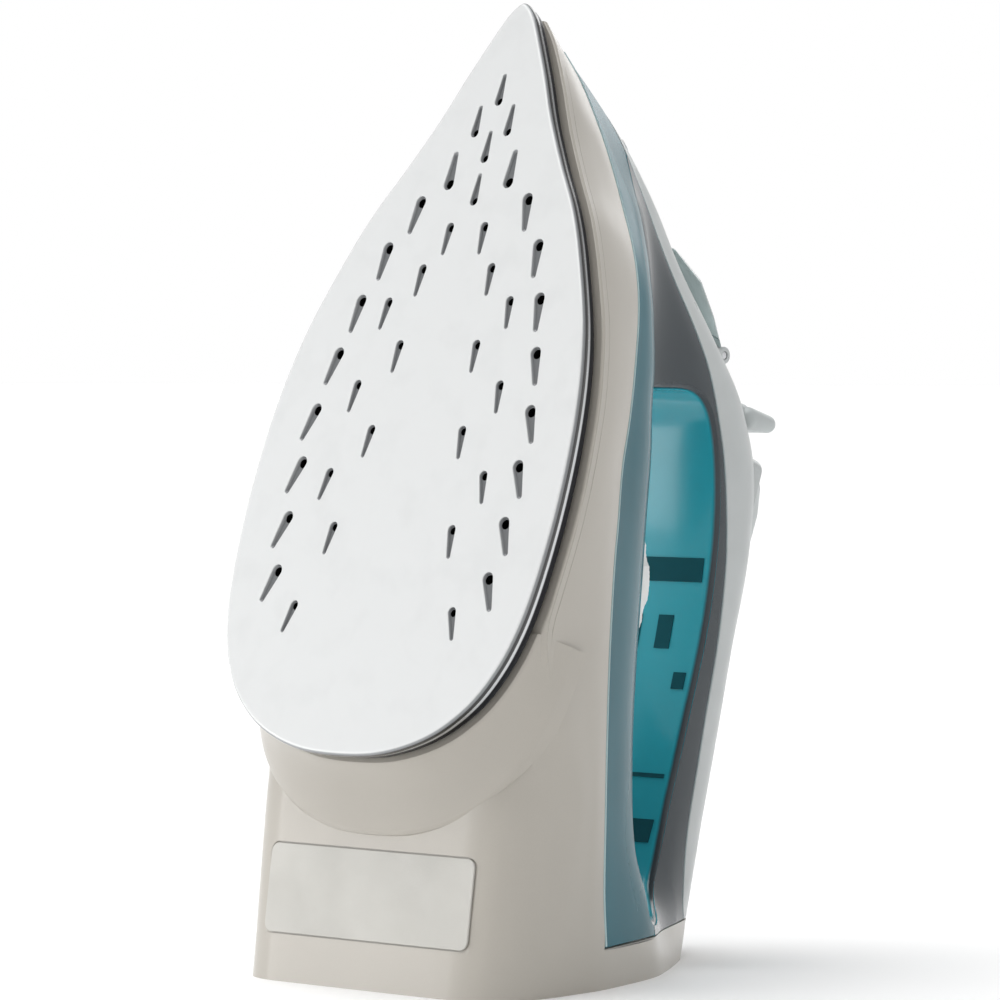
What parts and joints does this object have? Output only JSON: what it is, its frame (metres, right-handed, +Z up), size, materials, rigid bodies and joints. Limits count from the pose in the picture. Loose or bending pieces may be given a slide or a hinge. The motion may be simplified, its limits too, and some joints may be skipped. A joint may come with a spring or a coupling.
{
  "type": "clothes iron",
  "caption": "Household steam iron standing on its heel: slotted soleplate, water tank, looped handle, dial, steam lever, buttons, filler lid and cord swivel.",
  "frame": {"origin": "middle of the flat heel it stands on", "axes": "+Z up with the nose at the top, soleplate facing -Y, the user's left at +X"},
  "size_m": [0.1196, 0.1876, 0.2767],
  "materials": {
    "sole_coating": "glossy white ceramic-type coating on metal",
    "casting": "bright machined edge, cast inside",
    "heater_steel": "satin",
    "heat_shield": "dark heat-proof moulding",
    "cream_shell": "satin pearl cream",
    "tank_clear": "translucent blue-grey",
    "grip_clear": "translucent teal",
    "light_shell": "satin light grey",
    "dial_white": "satin",
    "brass": "turned",
    "control_grey": "satin",
    "pump_plastic": "plain",
    "tube_clear": "clear",
    "lid_clear": "translucent grey",
    "gland_rubber": "matte",
    "lens_amber": "translucent amber"
  },
  "bodies": {
    "iron": {"soleplate": "sole_coating", "heater_casting": "casting", "heating_element": "heater_steel", "steam_chamber_cover": "casting", "skirt_gasket": "heat_shield", "lower_body": "cream_shell", "water_tank": "tank_clear", "handle_shell": "grip_clear", "handle_cover": "light_shell", "dial_ring": "heat_shield", "thermostat": "heater_steel", "thermal_fuse": "heater_steel", "dosing_chamber": "brass", "spray_pump": "pump_plastic", "burst_pump": "pump_plastic", "button_bezel": "light_shell", "suction_tube": "tube_clear", "spray_tube": "tube_clear", "burst_tube": "tube_clear", "spray_nozzle": "dial_white", "nozzle_seat": "control_grey", "filler_inlet": "tube_clear", "lid_hinge_pin": "heater_steel", "rear_cover": "cream_shell", "rear_screw_left": "heater_steel", "rear_screw_right": "heater_steel", "gland_socket": "heat_shield", "terminal_block": "pump_plastic", "indicator_lens": "lens_amber", "indicator_lamp": "lens_amber", "rating_plate": "light_shell", "handle_frame": "heat_shield"},
    "dial": {"temperature_dial": "dial_white", "thermostat_shaft": "brass"},
    "selector": {"steam_selector": "control_grey"},
    "drip_valve": {"valve_rod": "brass"},
    "spray": {"spray_button": "control_grey", "spray_spring": "heater_steel"},
    "burst": {"burst_button": "control_grey", "burst_spring": "heater_steel"},
    "lid": {"filler_lid": "lid_clear"},
    "swivel": {"cord_gland": "gland_rubber"}
  },
  "joints": [
    {"name": "dial_turn", "type": "hinge", "parent": "iron", "child": "dial", "pos_m": [0, 0.01623, 0.11189], "axis": [0, 0.996, -0.0889], "range_deg": [0, 300]},
    {"name": "selector_turn", "type": "hinge", "parent": "iron", "child": "selector", "pos_m": [0, 0.09543, 0.15883], "axis": [0, 0.9882, -0.153], "range_deg": [0, 80]},
    {"name": "valve_lift", "type": "slide", "parent": "iron", "child": "drip_valve", "axis": [0, 0.9379, -0.3469], "range_m": [0, 0.003]},
    {"name": "spray_press", "type": "slide", "parent": "iron", "child": "spray", "axis": [0, -0.9379, 0.3469], "range_m": [0, 0.0035], "stiffness_N_per_m": 400},
    {"name": "burst_press", "type": "slide", "parent": "iron", "child": "burst", "axis": [0, -0.9379, 0.3469], "range_m": [0, 0.0035], "stiffness_N_per_m": 500},
    {"name": "lid_open", "type": "hinge", "parent": "iron", "child": "lid", "pos_m": [0, 0.08903, 0.17612], "axis": [-1, 0, 0], "range_deg": [0, 95]},
    {"name": "cord_swivel", "type": "hinge", "parent": "iron", "child": "swivel", "pos_m": [0, 0.026, 0.0047], "axis": [0, 1, 0], "range_deg": [-170, 170]}
  ],
  "couplings": [
    {"joint": "selector_turn", "follows": "valve_lift", "rad_per_m": 465}
  ]
}
